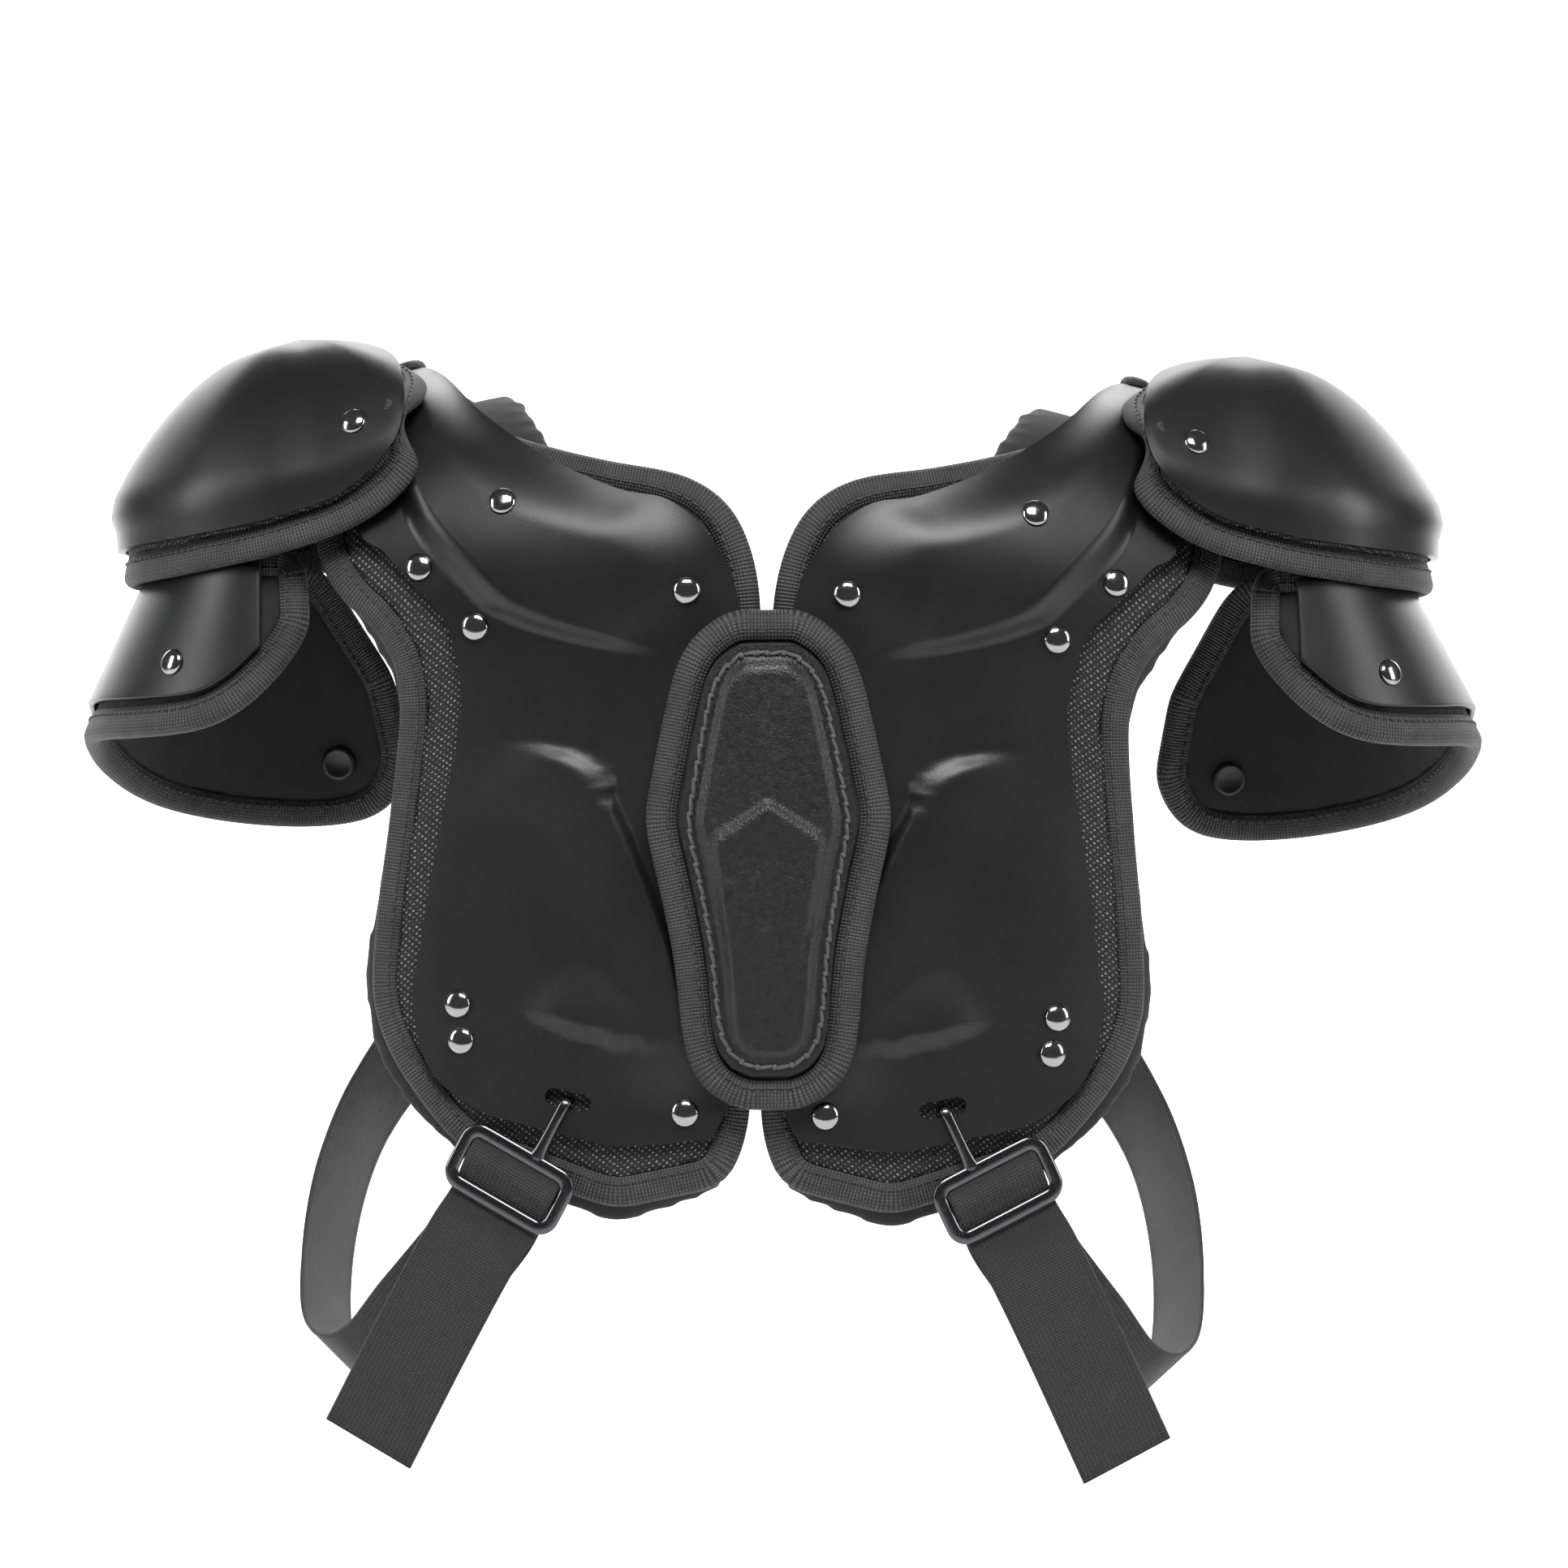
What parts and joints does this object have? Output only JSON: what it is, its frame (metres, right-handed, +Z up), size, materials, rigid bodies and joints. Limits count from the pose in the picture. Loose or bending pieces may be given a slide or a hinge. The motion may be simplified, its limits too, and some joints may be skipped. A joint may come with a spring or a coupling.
{
  "type": "football shoulder pad",
  "caption": "Youth football shoulder pads: moulded chest plates and shoulder caps over lined foam, with arm pads, a breastbone shield and elastic side straps on wire hooks.",
  "frame": {"origin": "where the pads rest on the shoulders, in the middle plane", "axes": "+X to the wearer's left, which is the right of the picture, the chest faces -Y, +Z up"},
  "size_m": [0.5545, 0.2571, 0.4315],
  "materials": {
    "moulded_plastic": "satin black, fine sandy grain",
    "mesh_padding": "black spacer mesh over foam",
    "soft_padding": "smooth black knit over foam",
    "binding_tape": "black ribbed woven tape",
    "elastic_webbing": "black elastic webbing",
    "shield_cover": "pebbled black",
    "dark_metal": "gloss black"
  },
  "bodies": {
    "root": {"front_shell_left": "moulded_plastic", "back_shell_left": "moulded_plastic", "cap_shell_left": "moulded_plastic", "arm_shell_left": "moulded_plastic", "arm_button_left": "moulded_plastic", "front_liner_left": "mesh_padding", "back_liner_left": "mesh_padding", "cap_pad_left": "mesh_padding", "arm_pad_left": "mesh_padding", "body_pad_left": "soft_padding", "front_binding_left": "binding_tape", "back_binding_left": "binding_tape", "cap_binding_left": "binding_tape", "arm_binding_left": "binding_tape", "shoulder_hinge_left": "binding_tape", "strap_left": "elastic_webbing", "arm_web_left": "elastic_webbing", "t_hook_left": "dark_metal", "rivet_arch_left": "dark_metal", "rivet_sternum_left": "dark_metal", "rivet_strip_upper_left": "dark_metal", "rivet_strip_lower_left": "dark_metal", "rivet_side_upper_left": "dark_metal", "rivet_side_lower_left": "dark_metal", "rivet_bottom_left": "dark_metal", "rivet_cap_left": "dark_metal", "rivet_arm_left": "dark_metal", "front_shell_right": "moulded_plastic", "back_shell_right": "moulded_plastic", "cap_shell_right": "moulded_plastic", "arm_shell_right": "moulded_plastic", "arm_button_right": "moulded_plastic", "front_liner_right": "mesh_padding", "back_liner_right": "mesh_padding", "cap_pad_right": "mesh_padding", "arm_pad_right": "mesh_padding", "body_pad_right": "soft_padding", "front_binding_right": "binding_tape", "back_binding_right": "binding_tape", "cap_binding_right": "binding_tape", "arm_binding_right": "binding_tape", "shoulder_hinge_right": "binding_tape", "strap_right": "elastic_webbing", "arm_web_right": "elastic_webbing", "t_hook_right": "dark_metal", "rivet_arch_right": "dark_metal", "rivet_sternum_right": "dark_metal", "rivet_strip_upper_right": "dark_metal", "rivet_strip_lower_right": "dark_metal", "rivet_side_upper_right": "dark_metal", "rivet_side_lower_right": "dark_metal", "rivet_bottom_right": "dark_metal", "rivet_cap_right": "dark_metal", "rivet_arm_right": "dark_metal", "sternum_pad": "mesh_padding", "sternum_binding": "binding_tape", "sternum_shell": "shield_cover", "back_bridge": "moulded_plastic"}
  },
  "joints": []
}
